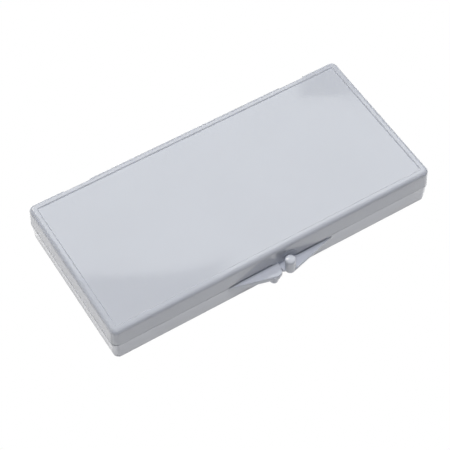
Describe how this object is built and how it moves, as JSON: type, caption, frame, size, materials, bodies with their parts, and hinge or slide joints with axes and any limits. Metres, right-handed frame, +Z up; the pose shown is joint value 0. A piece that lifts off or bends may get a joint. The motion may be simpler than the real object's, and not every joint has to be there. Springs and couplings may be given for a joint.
{
  "type": "magnetic needle case",
  "caption": "Flat hinged plastic needle case with a sunk lid panel, a magnetic sheet in each half and a latch of offset thumb tabs with finger studs.",
  "frame": {"origin": "middle of the box's footprint, on the flat underside", "axes": "+X along the box's length, -Y towards the thumb latch, +Y towards the hinges, +Z up"},
  "size_m": [0.1206, 0.0644, 0.0151],
  "materials": {
    "base_plastic": "moulded polystyrene, cool white, glossy",
    "lid_plastic": "moulded polystyrene, cool white, glossy",
    "pin_steel": "drawn wire, bright",
    "mounting_tape": "thin double-sided film",
    "magnet_sheet": "ferrite-filled flexible sheet, dark and satin"
  },
  "bodies": {
    "base": {"base_tray": "base_plastic", "hinge_pin_left": "pin_steel", "hinge_pin_right": "pin_steel", "base_magnet_tape": "mounting_tape", "base_magnet_sheet": "magnet_sheet"},
    "lid": {"lid_shell": "lid_plastic", "lid_magnet_tape": "mounting_tape", "lid_magnet_sheet": "magnet_sheet"}
  },
  "joints": [
    {"name": "lid_hinge", "type": "hinge", "parent": "base", "child": "lid", "pos_m": [0, 0.0293, 0.00831], "axis": [-1, 0, 0], "range_deg": [0, 180]}
  ]
}
